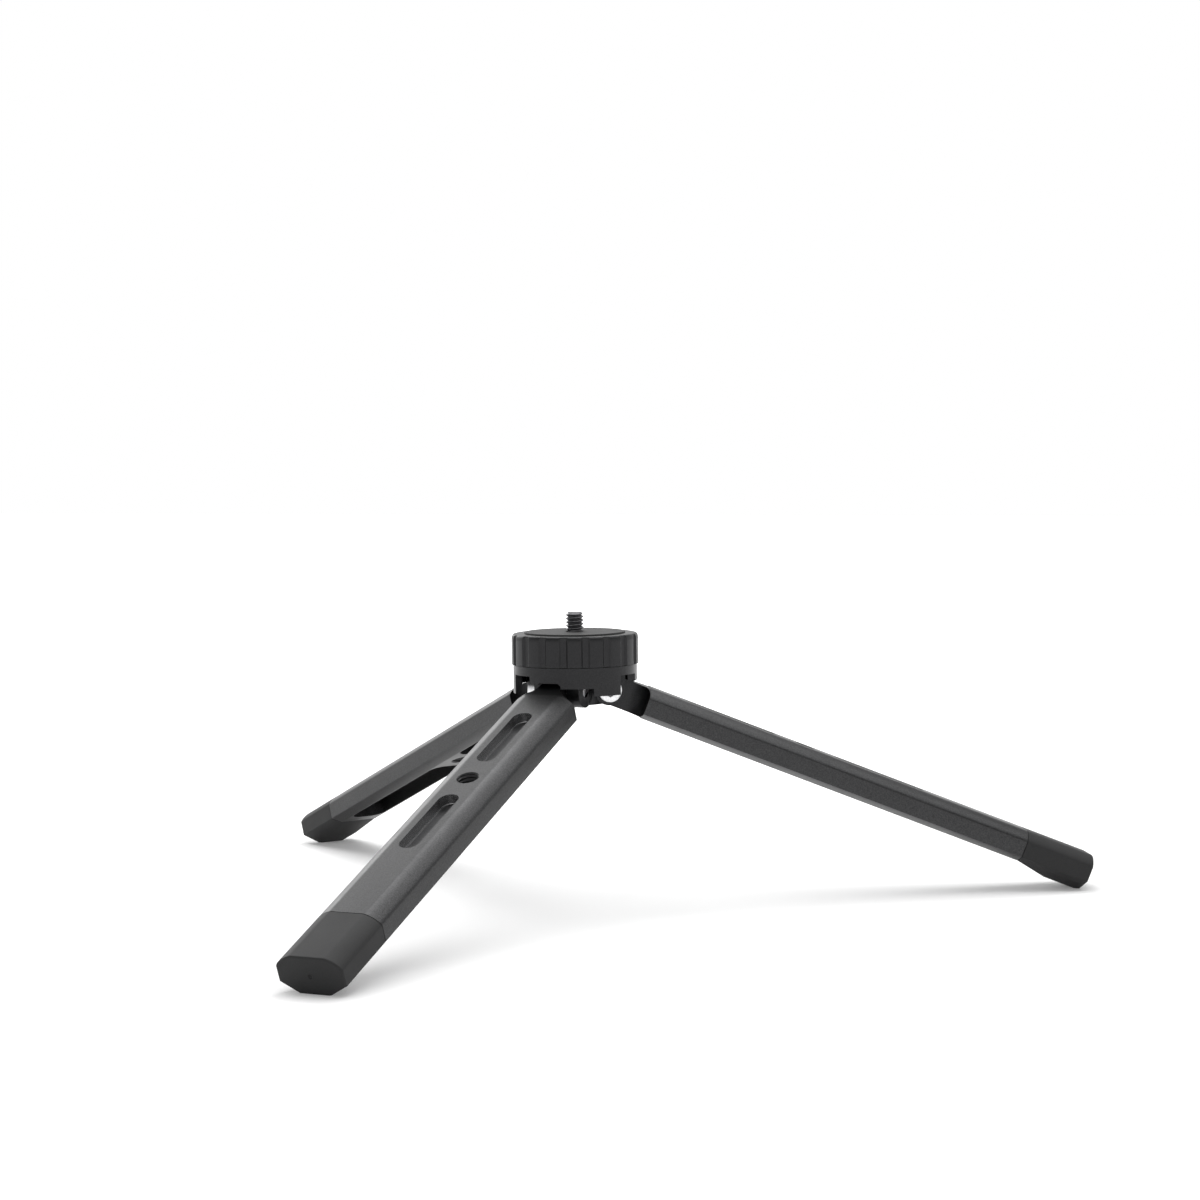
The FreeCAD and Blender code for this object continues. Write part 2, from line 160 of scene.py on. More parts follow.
class TopSizes(bpy.types.PropertyGroup):
    """Sizes of the hub, its screws and the turning top."""
    hub_edge: length("Hub edge", "Broken edges of the hub and the leg joints", 0.25)
    head_diameter: length("Head diameter", "Head of a hinge screw", 8.3)
    head_height: length("Head height", "Head of a hinge screw", 3.6)
    head_round: length("Head rounding", "Rounding of a hinge screw's head", 0.5)
    shank_diameter: length("Shank", "Shank of a hinge screw", 4.0)
    socket_width: length("Socket width", "Hex socket of a hinge screw, across its flats", 4.0)
    socket_depth: length("Socket depth", "Hex socket of a hinge screw", 2.0)
    ring_edge_width: length("Ring edge width", "Rounding of the grip ring's top edge, across", 1.0)
    ring_edge_height: length("Ring edge height", "Rounding of the grip ring's top edge, down", 2.0)
    ring_bore: length("Ring bore", "Radius of the hole through the grip ring", 3.1)
    pad_seat: length("Pad seat", "Radius of the recess that holds the pad", 17.9)
    flute_count: bpy.props.IntProperty(
        name="Flutes", description="Flutes round the grip ring", default=18, min=1)
    flute_azimuth: angle("First flute", "Place of the first flute", -54.7)
    flute_width: length("Flute width", "Mouth of a flute", 3.4)
    flute_floor: length("Flute floor", "Flat floor of a flute", 1.8)
    flute_depth: length("Flute depth", "Depth of a flute", 0.7)
    pad_round: length("Pad rounding", "Rounding of the pad's top edge", 0.25)
    pad_bore: length("Pad bore", "Radius of the hole through the pad", 3.275)
    spindle: length("Spindle", "Radius of the spindle below the thread", 3.0)
    neck: length("Neck", "Radius of the neck in the pad", 2.4)
    thread_radius: length("Thread radius", "Crest of the camera thread", 3.175)
    thread_depth: length("Thread depth", "Depth of the camera thread", 0.72)
    thread_pitch: length("Thread pitch", "Rise of one turn of the camera thread", 1.27)
    thread_point: length("Thread point", "Chamfer at the tip of the camera screw", 0.8)


class Finishes(bpy.types.PropertyGroup):
    """Colours of the pieces."""
    leg: colour("Legs", "Dark grey anodising", (0.048, 0.048, 0.049))
    # This colour, brighter than the legs', is painted light on the pocket walls
    smooth_wall_painted_light: colour("Pocket walls", "Smoother side-cut walls of the top pockets", (0.4, 0.4, 0.405))
    hub: colour("Hub", "Black anodising of the hub and the joints", (0.03, 0.03, 0.031))
    ring: colour("Ring", "Black anodising of the grip ring", (0.03, 0.03, 0.031))
    foot: colour("Feet", "Rubber of the foot caps", (0.013, 0.013, 0.0135))
    pad: colour("Pad", "Rubber of the top pad", (0.03, 0.03, 0.03))
    thread: colour("Camera screw", "Dark plated steel", (0.13, 0.13, 0.135))
    steel: colour("Hinge screws", "Bright steel", (0.75, 0.75, 0.76))


class StageLook(bpy.types.PropertyGroup):
    """Camera and light of the studio."""
    camera_place: bpy.props.FloatVectorProperty(
        name="Camera place", description="Where the camera stands", size=3, subtype="TRANSLATION",
        default=(0.4275, -0.8824, 0.1664))
    camera_turn: angle("Camera turn", "Heading of the view, from +Y towards -X", 25.32)
    camera_pitch: angle("Camera pitch", "Angle of the view below the horizon", 3.503)
    camera_roll: angle("Camera roll", "Turn of the camera about its view", -0.701)
    lens: bpy.props.FloatProperty(
        name="Lens", description="Focal length on a 36 mm frame", default=83.43, unit="CAMERA")
    key: power("Key lamp", "Power of the broad lamp overhead", 18.0)
    spot: power("Spot lamp", "Power of the small lamp just under the broad one, behind the tripod", 2.6)
    rim: power("Rim lamp", "Power of the lamp behind the tripod on the left", 6.0)
    floor_glow: bpy.props.FloatProperty(
        name="Floor glow", description="White that the floor shows whatever falls on it", default=0.14,
        min=0.0, max=1.0, subtype="FACTOR")


# Modelling helpers

def select_only(piece):
    """Select one piece and make it the active one."""
    bpy.ops.object.select_all(action="DESELECT")
    piece.select_set(True)
    bpy.context.view_layer.objects.active = piece


def edit(piece):
    """Open one piece for editing, with all of it selected."""
    select_only(piece)
    bpy.ops.object.mode_set(mode="EDIT")
    bpy.ops.mesh.select_all(action="SELECT")


def leave_edit():
    """Close the piece under edit."""
    bpy.ops.object.mode_set(mode="OBJECT")


def middle(item):
    """Middle of an edge or a face."""
    return sum((vert.co for vert in item.verts), Vector()) / len(item.verts)


def pick(piece, kind, wanted):
    """Select those vertices, edges or faces of a piece under edit that are wanted."""
    bpy.ops.mesh.select_mode(type=kind)
    bpy.ops.mesh.select_all(action="DESELECT")
    mesh = bmesh.from_edit_mesh(piece.data)
    items = {"VERT": mesh.verts, "EDGE": mesh.edges, "FACE": mesh.faces}[kind]
    found = [item for item in items if wanted(item)]
    if not found:
        raise RuntimeError(f"{piece.name} has nothing to select here")
    for item in found:
        item.select_set(True)
    mesh.select_flush_mode()
    bmesh.update_edit_mesh(piece.data)


def added(name):
    """The primitive just added, named and with its place moved into its mesh."""
    piece = bpy.context.object
    piece.name = name
    bpy.ops.object.transform_apply(location=True, rotation=True, scale=True)
    return piece


def extrude(offset):
    """Extrude the selected faces as one region."""
    bpy.ops.mesh.extrude_region_move(TRANSFORM_OT_translate={"value": offset})


def resize(factors):
    """Scale what is selected about the origin."""
    bpy.ops.transform.resize(value=factors, center_override=(0, 0, 0))


def apply_modifier(piece, kind, **settings):
    """Add a modifier with these settings and apply it."""
    select_only(piece)
    modifier = piece.modifiers.new(kind.lower(), kind)
    for key, value in settings.items():
        setattr(modifier, key, value)
    bpy.ops.object.modifier_apply(modifier=modifier.name)


def cut(piece, cutter):
    """Cut one piece away with another."""
    faces = len(piece.data.polygons)
    apply_modifier(piece, "BOOLEAN", object=cutter, operation="DIFFERENCE", solver="EXACT")
    if len(piece.data.polygons) == faces:
        raise RuntimeError(f"{cutter.name} cut nothing from {piece.name}")
    bpy.data.objects.remove(cutter)


def break_edges(piece, width):
    """Round the sharp edges a little and shade the piece smooth between them."""
    apply_modifier(piece, "BEVEL", width=width, segments=2, limit_method="ANGLE", angle_limit=SHARP)
    smooth(piece)


def smooth(piece):
    """Dissolve slivers that cutting left, and shade the piece smooth between its sharp edges."""
    edit(piece)
    bpy.ops.mesh.dissolve_degenerate(threshold=0.2 * NEAR)
    leave_edit()
    bpy.ops.object.shade_smooth_by_angle(angle=SHARP)
    apply_modifier(piece, "WEIGHTED_NORMAL", keep_sharp=True)


def upright(name, vertices, radius, bottom, top):
    """Plain round bar on the hub's axis between two heights."""
    bpy.ops.object.select_all(action="DESELECT")
    bpy.ops.mesh.primitive_cylinder_add(
        vertices=vertices, radius=radius, depth=top - bottom, location=(0, 0, (bottom + top) / 2))
    return added(name)


def placed_copy(master, name, matrix):
    """Copy of a piece with a mesh of its own, moved to its place."""
    select_only(master)
    bpy.ops.object.duplicate()
    piece = bpy.context.object
    piece.name = name
    piece.data.name = name
    piece.matrix_world = matrix
    bpy.ops.object.transform_apply(location=True, rotation=True, scale=True)
    return piece


def machined_copy(node, name):
    """Copy of a machined solid, its triangles joined into whole faces."""
    piece = bpy.data.objects.new(name, frame["nodes"][node].data.copy())
    bpy.context.scene.collection.objects.link(piece)
    edit(piece)
    bpy.ops.mesh.remove_doubles(threshold=0.1 * NEAR)
    bpy.ops.mesh.dissolve_limited(angle_limit=math.radians(1.0))
    bpy.ops.mesh.normals_make_consistent(inside=False)
    leave_edit()
    return piece


def dress(piece, node, material):
    """Put a finished piece in the place of a machined node, on the same body."""
    piece.data.materials.clear()
    piece.data.materials.append(material)
    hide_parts(node)
    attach(piece, frame["nodes"][node]["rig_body"])


def pin_of(leg):
    """Place of a leg's hinge pin."""
    return next(Vector(joint["pos_m"]) for joint in frame["joints"] if joint["name"] == f"leg_{leg}_fold")


def azimuth_of(leg):
    """Direction of a leg, seen from above."""
    pin = pin_of(leg)
    return math.atan2(pin.y, pin.x)


def hinge_frame(leg):
    """From a hinge's own frame, x outwards and y along the pin, to its place."""
    return Matrix.Translation(pin_of(leg)) @ Matrix.Rotation(azimuth_of(leg), 4, "Z")


def leg_frame(leg, slope):
    """From a leg's own frame to its open place."""
    return hinge_frame(leg) @ Matrix.Rotation(slope, 4, "Y")


# Materials

def grained(name, tint, metallic, roughness, grain, relief, contrast):
    """Finish with a fine grain: colour and surface vary at the grain's size, gloss in wider patches."""
    patches_per_metre = 90.0
    gloss_spread = 0.05
    material = bpy.data.materials.new(name)
    material.use_nodes = True
    nodes = material.node_tree.nodes
    links = material.node_tree.links
    shader = nodes["Principled BSDF"]
    shader.inputs["Metallic"].default_value = metallic
    coords = nodes.new("ShaderNodeTexCoord")

    fine = nodes.new("ShaderNodeTexNoise")
    fine.inputs["Scale"].default_value = 1.0 / grain
    fine.inputs["Detail"].default_value = 3.0
    links.new(coords.outputs["Object"], fine.inputs["Vector"])
    shades = nodes.new("ShaderNodeValToRGB")
    shades.color_ramp.elements[0].position = 0.3
    shades.color_ramp.elements[0].color = (*[(1 - contrast) * part for part in tint], 1.0)
    shades.color_ramp.elements[1].position = 0.7
    shades.color_ramp.elements[1].color = (*[min(1.0, (1 + contrast) * part) for part in tint], 1.0)
    links.new(fine.outputs["Fac"], shades.inputs["Fac"])
    links.new(shades.outputs["Color"], shader.inputs["Base Color"])

    patches = nodes.new("ShaderNodeTexNoise")
    patches.inputs["Scale"].default_value = patches_per_metre
    links.new(coords.outputs["Object"], patches.inputs["Vector"])
    gloss = nodes.new("ShaderNodeMapRange")
    gloss.inputs["To Min"].default_value = roughness - gloss_spread
    gloss.inputs["To Max"].default_value = roughness + gloss_spread
    links.new(patches.outputs["Fac"], gloss.inputs["Value"])
    links.new(gloss.outputs["Result"], shader.inputs["Roughness"])

    bump = nodes.new("ShaderNodeBump")
    bump.inputs["Strength"].default_value = 0.4
    bump.inputs["Distance"].default_value = relief
    links.new(fine.outputs["Fac"], bump.inputs["Height"])
    links.new(bump.outputs["Normal"], shader.inputs["Normal"])
    return material


def paint_light_and_smooth_marked(material, mark, tint, roughness):
    """Make the marked faces of a finish smoother, as the side of a cutter leaves them, and brighter in
    colour, which is painted light.
    """
    nodes = material.node_tree.nodes
    links = material.node_tree.links
    shader = nodes["Principled BSDF"]
    share = nodes.new("ShaderNodeAttribute")
    share.attribute_name = mark
    colours = nodes.new("ShaderNodeMixRGB")
    colours.inputs["Color2"].default_value = (*tint, 1.0)
    gloss = nodes.new("ShaderNodeMapRange")
    gloss.inputs["To Max"].default_value = roughness
    for socket, source, target in (
            ("Base Color", colours.outputs["Color"], colours.inputs["Color1"]),
            ("Roughness", gloss.outputs["Result"], gloss.inputs["To Min"])):
        before = shader.inputs[socket].links[0].from_socket
        links.new(before, target)
        links.new(source, shader.inputs[socket])
    links.new(share.outputs["Fac"], colours.inputs["Fac"])
    links.new(share.outputs["Fac"], gloss.inputs["Value"])


def anodised(name, tint, contrast):
    """Bead-blasted and anodised aluminium."""
    return grained(
        name, tint, metallic=0.95, roughness=0.38, grain=0.45 * MM, relief=0.03 * MM, contrast=contrast)


def rubber(name, tint):
    """Matt moulded rubber."""
    material = grained(
        name, tint, metallic=0.0, roughness=0.62, grain=0.35 * MM, relief=0.03 * MM, contrast=0.2)
    material.node_tree.nodes["Principled BSDF"].inputs["Specular IOR Level"].default_value = 0.35
    return material


def plated(name, tint, roughness):
    """Plated or polished steel."""
    return grained(
        name, tint, metallic=1.0, roughness=roughness, grain=0.6 * MM, relief=0.004 * MM, contrast=0.2)


# Leg pieces

def bevel_long_edges(block, side, across, down, segments, profile):
    """Bevel the upper or the lower long edges of a leg block, further across than down."""
    stretch = across / down
    edit(block)
    resize((1, 1, stretch))
    corner = max(abs(vert.co.z) for vert in bmesh.from_edit_mesh(block.data).verts)
    pick(block, "EDGE", lambda edge: abs(middle(edge).y) > across
         and all(side * vert.co.z > corner - NEAR for vert in edge.verts))
    bpy.ops.mesh.bevel(offset=across, segments=segments, profile=profile, affect="EDGES")
    bpy.ops.mesh.select_all(action="SELECT")
    resize((1, 1, 1 / stretch))
    leave_edit()


def leg_block(name, sizes, start, end):
    """Solid length of the leg's section: flat top, crowned shoulders and chamfers below."""
    bpy.ops.object.select_all(action="DESELECT")
    bpy.ops.mesh.primitive_cube_add(
        size=1.0, location=((start + end) / 2, 0, 0), scale=(end - start, sizes.width, sizes.height))
    block = added(name)
    bevel_long_edges(block, side=1, across=(sizes.width - sizes.top_flat) / 2, down=sizes.shoulder_drop,
                     segments=8, profile=0.37)
    bevel_long_edges(block, side=-1, across=(sizes.width - sizes.bottom_flat) / 2, down=sizes.lower_rise,
                     segments=1, profile=0.5)
    return block


def pocket_cutter(start, end, width, corner, floor, mouth, fillet):
    """Cutter for a pocket along the leg, with rounded corners and a rounding round its floor."""
    bpy.ops.object.select_all(action="DESELECT")
    bpy.ops.mesh.primitive_cube_add(
        size=1.0, location=((start + end) / 2, 0, (floor + mouth) / 2),
        scale=(end - start, width, abs(mouth - floor)))
    cutter = added("pocket_cutter")
    edit(cutter)
    pick(cutter, "EDGE", lambda edge: abs(edge.verts[0].co.z - edge.verts[1].co.z) > NEAR)
    bpy.ops.mesh.bevel(offset=min(corner, width / 2 - NEAR), segments=14, profile=0.5, affect="EDGES")
    pick(cutter, "EDGE", lambda edge: all(abs(vert.co.z - floor) < NEAR for vert in edge.verts))
    bpy.ops.mesh.bevel(offset=fillet, segments=3, profile=0.5, affect="EDGES")
    leave_edit()
    return cutter


def thread_height(vert, bottom, pitch):
    """How near a point is to the crest of a thread, from 0 at the root to 1, with both cut off flat."""
    turns = (vert.co.z - bottom) / pitch - math.atan2(vert.co.y, vert.co.x) / (2 * math.pi)
    wave = abs(2 * (turns - math.floor(turns)) - 1)
    return min(1.0, max(0.0, 1.25 * wave - 0.1))


def threaded_cutter(sizes):
    """Cutter for the accessory hole, with its thread and a chamfer at each end."""
    half = sizes.height / 2
    reach = half + sizes.hole_thread
    radius = sizes.hole_diameter / 2
    rings = THREAD_STEPS * math.ceil(2 * reach / sizes.hole_pitch)
    cutter = upright("hole_cutter", 48, radius, -reach, 2 * reach / rings - reach)
    edit(cutter)
    pick(cutter, "FACE", lambda face: face.normal.z > 0.9)
    for k in range(1, rings):
        extrude((0, 0, 2 * reach / rings))
    for vert in bmesh.from_edit_mesh(cutter.data).verts:
        groove = radius + sizes.hole_thread * thread_height(vert, -reach, sizes.hole_pitch)
        mouth = radius + sizes.hole_chamfer + abs(vert.co.z) - half
        vert.co.xy *= max(groove, mouth) / radius
    bmesh.update_edit_mesh(cutter.data)
    bpy.ops.mesh.select_all(action="SELECT")
    bpy.ops.transform.translate(value=(sizes.hole_from_pin, 0, 0))
    leave_edit()
    return cutter


def mark_pocket_walls(bar, sizes):
    """Mark the upright faces of the top pockets, which get painted light and a smoother finish."""
    marks = bar.data.attributes.new(SMOOTH_WALL_PAINTED_LIGHT, "FLOAT", "FACE")
    for face in bar.data.polygons:
        past_web = abs(face.center.x - sizes.hole_from_pin) - sizes.pocket_web
        along = -NEAR < past_web < sizes.pocket_length + NEAR
        across = abs(face.center.y) < sizes.pocket_width / 2 + NEAR and face.center.z > 0
        marks.data[face.index].value = float(along and across and abs(face.normal.z) < 0.3)


class TRIPOD_OT_leg_bars(bpy.types.Operator):
    """Model the milled leg bar with its pockets and copy it to the three legs"""
    bl_idname = "tripod.leg_bars"
    bl_label = "Leg bars"

    def execute(self, context):
        sizes = context.scene.tripod_leg
        bar = leg_block("leg_bar", sizes, sizes.bar_start, sizes.bar_end)
        # Sockets in both ends
        edit(bar)
        for out, depth in ((-1, sizes.joint_socket), (1, sizes.foot_socket)):
            pick(bar, "FACE", lambda face: out * face.normal.x > 0.9)
            bpy.ops.mesh.inset(thickness=sizes.socket_wall)
            extrude((-out * depth, 0, 0))
        leave_edit()

        # Pockets in the top and in the underside, on both sides of the hole
        top = sizes.height / 2
        hole = sizes.hole_from_pin
        upper = hole - sizes.pocket_web
        lower = hole + sizes.pocket_web
        for start, end in ((upper - sizes.pocket_length, upper), (lower, lower + sizes.pocket_length)):
            cut(bar, pocket_cutter(start, end, sizes.pocket_width, sizes.pocket_width / 2,
                                   top - sizes.pocket_depth, 2 * top, sizes.pocket_fillet))
        upper = hole - sizes.under_web
        lower = hole + sizes.under_web
        for start, end in ((upper - sizes.under_length, upper), (lower, sizes.under_end)):
            cut(bar, pocket_cutter(start, end, sizes.under_width, sizes.under_corner,
                                   sizes.under_depth - top, -2 * top, sizes.pocket_fillet))

        # The hole comes after the broken edges, because its thread stays sharp
        break_edges(bar, sizes.edge)
        cut(bar, threaded_cutter(sizes))
        smooth(bar)
        mark_pocket_walls(bar, sizes)

        finish = context.scene.tripod_finish
        material = anodised("grey_anodised", finish.leg, contrast=0.28)
        # The pocket walls get painted light from a brighter colour, and a lower roughness
        paint_light_and_smooth_marked(material, SMOOTH_WALL_PAINTED_LIGHT, finish.smooth_wall_painted_light, roughness=0.25)
        for leg in LEGS:
            piece = placed_copy(bar, f"milled_leg_{leg}", leg_frame(leg, sizes.slope))
            dress(piece, f"leg_bar_{leg}", material)
        bpy.data.objects.remove(bar)
        return {"FINISHED"}


class TRIPOD_OT_foot_caps(bpy.types.Operator):
    """Model the rubber foot cap and copy it to the three legs"""
    bl_idname = "tripod.foot_caps"
    bl_label = "Foot caps"

    def execute(self, context):
        sizes = context.scene.tripod_leg
        cap = leg_block("foot_cap", sizes, sizes.bar_end + sizes.foot_seam, sizes.foot_end)
        # Keel that ramps down to the sole, and the rounded end
        ramp_end = sizes.bar_end + sizes.foot_ramp
        underside = -sizes.height / 2
        edit(cap)
        bpy.ops.mesh.bisect(plane_co=(ramp_end, 0, 0), plane_no=(1, 0, 0))
        pick(cap, "VERT", lambda vert: vert.co.x > ramp_end - NEAR and vert.co.z < underside + NEAR)
        bpy.ops.transform.translate(value=(0, 0, -sizes.foot_depth))
        resize((1, sizes.foot_sole / sizes.bottom_flat, 1))
        pick(cap, "EDGE", lambda edge: all(vert.co.x > sizes.foot_end - NEAR for vert in edge.verts))
        bpy.ops.mesh.bevel(offset=sizes.foot_round, segments=3, profile=0.5, affect="EDGES")

        # Flat of the sole where the open leg stands on the floor
        bpy.ops.mesh.select_all(action="SELECT")
        fall = math.sin(sizes.slope)
        level = math.cos(sizes.slope)
        floor = -pin_of("front").z / level
        bpy.ops.mesh.bisect(
            plane_co=(0, 0, floor), plane_no=(-fall, 0, level), use_fill=True, clear_inner=True)
        leave_edit()

        # Moulding mark in the end
        bpy.ops.object.select_all(action="DESELECT")
        bpy.ops.mesh.primitive_uv_sphere_add(
            segments=24, ring_count=12, radius=sizes.gate_mark / 2,
            location=(sizes.foot_end, 0, -sizes.gate_height), scale=(0.5, 1.0, 1.0))
        cut(cap, added("gate_cutter"))
        break_edges(cap, sizes.edge)

        # Floor of the seam, and the plug in the bar
        edit(cap)
        pick(cap, "FACE", lambda face: face.normal.x < -0.99)
        bpy.ops.mesh.inset(thickness=sizes.seam_depth - sizes.edge)
        extrude((sizes.plug_fit / 2 - sizes.foot_seam, 0, 0))
        bpy.ops.mesh.inset(thickness=sizes.socket_wall + sizes.plug_fit - sizes.seam_depth)
        extrude((-sizes.plug_fit / 2 - sizes.plug, 0, 0))
        leave_edit()
        smooth(cap)

        material = rubber("foot_rubber", context.scene.tripod_finish.foot)
        for leg in LEGS:
            piece = placed_copy(cap, f"rubber_foot_{leg}", leg_frame(leg, sizes.slope))
            dress(piece, f"foot_cap_{leg}", material)
        bpy.data.objects.remove(cap)
        return {"FINISHED"}


# Hub pieces

class TRIPOD_OT_hub(bpy.types.Operator):
    """Break the edges of the hub and of the three leg joints that turn in it"""
    bl_idname = "tripod.hub"
    bl_label = "Hub and leg joints"

    def execute(self, context):
        sizes = context.scene.tripod_top
        material = anodised("black_anodised", context.scene.tripod_finish.hub, contrast=0.15)
        hub = machined_copy("hub_body", "hinge_hub")
        break_edges(hub, sizes.hub_edge)
        dress(hub, "hub_body", material)

        joint = machined_copy("leg_joint_front", "leg_joint")
        break_edges(joint, sizes.hub_edge)
        for leg in LEGS:
            turn = Matrix.Rotation(azimuth_of(leg) - azimuth_of("front"), 4, "Z")
            piece = placed_copy(joint, f"hinge_block_{leg}", turn)
            dress(piece, f"leg_joint_{leg}", material)
        bpy.data.objects.remove(joint)
        return {"FINISHED"}


class TRIPOD_OT_hinge_screws(bpy.types.Operator):
    """Model the socket-head hinge screw and copy it to the three hinges"""
    bl_idname = "tripod.hinge_screws"
    bl_label = "Hinge screws"

    def execute(self, context):
        sizes = context.scene.tripod_top
        # The front pin lies along the x axis, so that node's box gives both ends
        low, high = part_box("hinge_screw_front")
        head_end = low.x
        seat = head_end + sizes.head_height
        radius = sizes.head_diameter / 2
        bpy.ops.object.select_all(action="DESELECT")
        bpy.ops.mesh.primitive_cylinder_add(
            vertices=72, radius=radius, depth=sizes.head_height, location=(0, (head_end + seat) / 2, 0),
            rotation=(math.pi / 2, 0, 0))
        screw = added("hinge_screw")
        edit(screw)
        pick(screw, "EDGE", lambda edge: all(vert.co.y < head_end + NEAR for vert in edge.verts))
        bpy.ops.mesh.bevel(offset=sizes.head_round, segments=4, profile=0.5, affect="EDGES")
        pick(screw, "FACE", lambda face: face.normal.y > 0.9)
        bpy.ops.mesh.inset(thickness=radius - sizes.shank_diameter / 2)
        extrude((0, high.x - seat, 0))
        leave_edit()

        # Hex socket in the head
        bpy.ops.object.select_all(action="DESELECT")
        bpy.ops.mesh.primitive_cylinder_add(
            vertices=6, radius=sizes.socket_width / math.sqrt(3), depth=2 * sizes.socket_depth,
            location=(0, head_end, 0), rotation=(math.pi / 2, 0, 0))
        cut(screw, added("socket_cutter"))
        break_edges(screw, 0.5 * sizes.hub_edge)

        material = plated("bright_steel", context.scene.tripod_finish.steel, roughness=0.28)
        for leg in LEGS:
            piece = placed_copy(screw, f"socket_screw_{leg}", hinge_frame(leg))
            dress(piece, f"hinge_screw_{leg}", material)
        bpy.data.objects.remove(screw)
        frame["nodes"]["spindle_clip"].data.materials.clear()
        frame["nodes"]["spindle_clip"].data.materials.append(material)
        return {"FINISHED"}


# Turning top

def bore_through(piece, radius):
    """Open a hole through a round piece under edit, from its top flat to its bottom one."""
    for up in (1, -1):
        pick(piece, "FACE", lambda face: up * face.normal.z > 0.9 and middle(face).xy.length < NEAR)
        outer = max(vert.co.xy.length for vert in bmesh.from_edit_mesh(piece.data).verts if vert.select)
        bpy.ops.mesh.inset(thickness=outer - radius)
    pick(piece, "FACE", lambda face: abs(face.normal.z) > 0.9 and middle(face).xy.length < NEAR)
    bpy.ops.mesh.bridge_edge_loops()


class TRIPOD_OT_grip_ring(bpy.types.Operator):
    """Model the fluted grip ring with its rounded edge and the recess for the pad"""
    bl_idname = "tripod.grip_ring"
    bl_label = "Grip ring"

    def execute(self, context):
        sizes = context.scene.tripod_top
        low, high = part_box("grip_ring")
        radius = high.y
        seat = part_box("top_pad")[0].z
        edge_bottom = high.z - sizes.ring_edge_height
        ring = upright("grip_ring_blank", 720, radius, low.z, edge_bottom)
        edit(ring)
        pick(ring, "FACE", lambda face: face.normal.z > 0.9)

        # Rounded top edge, then the recess for the pad
        steps = 6
        last = radius
        for k in range(1, steps + 1):
            turn = k / steps * math.pi / 2
            rise = sizes.ring_edge_height * (math.sin(turn) - math.sin(turn - math.pi / 2 / steps))
            here = radius - sizes.ring_edge_width * (1 - math.cos(turn))
            extrude((0, 0, rise))
            resize((here / last, here / last, 1))
            last = here
        bpy.ops.mesh.inset(thickness=last - sizes.pad_seat)
        extrude((0, 0, seat - high.z))
        bore_through(ring, sizes.ring_bore)

        # Flutes round the outside, with eased sides
        mesh = bmesh.from_edit_mesh(ring.data)
        step = 2 * math.pi / sizes.flute_count
        splay = (sizes.flute_width - sizes.flute_floor) / 2
        for vert in mesh.verts:
            place = vert.co.xy.length
            if place < sizes.pad_seat + NEAR:
                continue
            turn = math.atan2(vert.co.y, vert.co.x) - sizes.flute_azimuth
            turn -= step * round(turn / step)
            past_floor = max(0.0, abs(turn) * radius - sizes.flute_floor / 2) / splay
            ease = min(1.0, past_floor)
            depth = sizes.flute_depth * (1 - ease * ease * (3 - 2 * ease))
            vert.co.xy *= min(place, radius - depth) / place
        bmesh.update_edit_mesh(ring.data)
        leave_edit()
        ring.name = "fluted_ring"
        smooth(ring)
        material = anodised("ring_anodised", context.scene.tripod_finish.ring, contrast=0.12)
        dress(ring, "grip_ring", material)
        return {"FINISHED"}


class TRIPOD_OT_top_pad(bpy.types.Operator):
    """Model the rubber pad round the camera screw"""
    bl_idname = "tripod.top_pad"
    bl_label = "Top pad"

    def execute(self, context):
        sizes = context.scene.tripod_top
        low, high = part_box("top_pad")
        pad = upright("rubber_pad", 160, high.x, low.z, high.z)
        edit(pad)
        pick(pad, "EDGE", lambda edge: all(vert.co.z > high.z - NEAR for vert in edge.verts))
        bpy.ops.mesh.bevel(offset=sizes.pad_round, segments=3, profile=0.5, affect="EDGES")
        bore_through(pad, sizes.pad_bore)
        leave_edit()
        smooth(pad)
        dress(pad, "top_pad", rubber("pad_rubber", context.scene.tripod_finish.pad))
        return {"FINISHED"}


class TRIPOD_OT_camera_screw(bpy.types.Operator):
    """Model the camera screw with its cut thread, and the spindle below it"""
    bl_idname = "tripod.camera_screw"
    bl_label = "Camera screw"

    def execute(self, context):
        sizes = context.scene.tripod_top
        low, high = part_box("mount_screw")
        pad_low, pad_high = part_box("top_pad")
        screw = upright("camera_screw", 72, sizes.spindle, low.z, pad_low.z)
        edit(screw)
        pick(screw, "FACE", lambda face: face.normal.z > 0.9)
        bpy.ops.mesh.inset(thickness=sizes.spindle - sizes.neck)
        extrude((0, 0, pad_high.z - pad_low.z))
        rings = THREAD_STEPS * math.ceil((high.z - pad_high.z) / sizes.thread_pitch)
        for k in range(rings):
            extrude((0, 0, (high.z - pad_high.z) / rings))

        # Thread that grows out of the neck and ends in a chamfer at the tip
        mesh = bmesh.from_edit_mesh(screw.data)
        for vert in mesh.verts:
            above = vert.co.z - pad_high.z
            if above < NEAR:
                continue
            started = min(1.0, above / (0.5 * sizes.thread_pitch))
            crest = started * thread_height(vert, pad_high.z, sizes.thread_pitch)
            reach = sizes.thread_radius - sizes.thread_depth * (1 - crest)
            reach = min(reach, sizes.thread_radius - sizes.thread_point + (high.z - vert.co.z))
            vert.co.xy *= reach / vert.co.xy.length
        bmesh.update_edit_mesh(screw.data)
        leave_edit()
        smooth(screw)
        material = plated("dark_steel", context.scene.tripod_finish.thread, roughness=0.36)
        dress(screw, "mount_screw", material)
        return {"FINISHED"}


# Stage

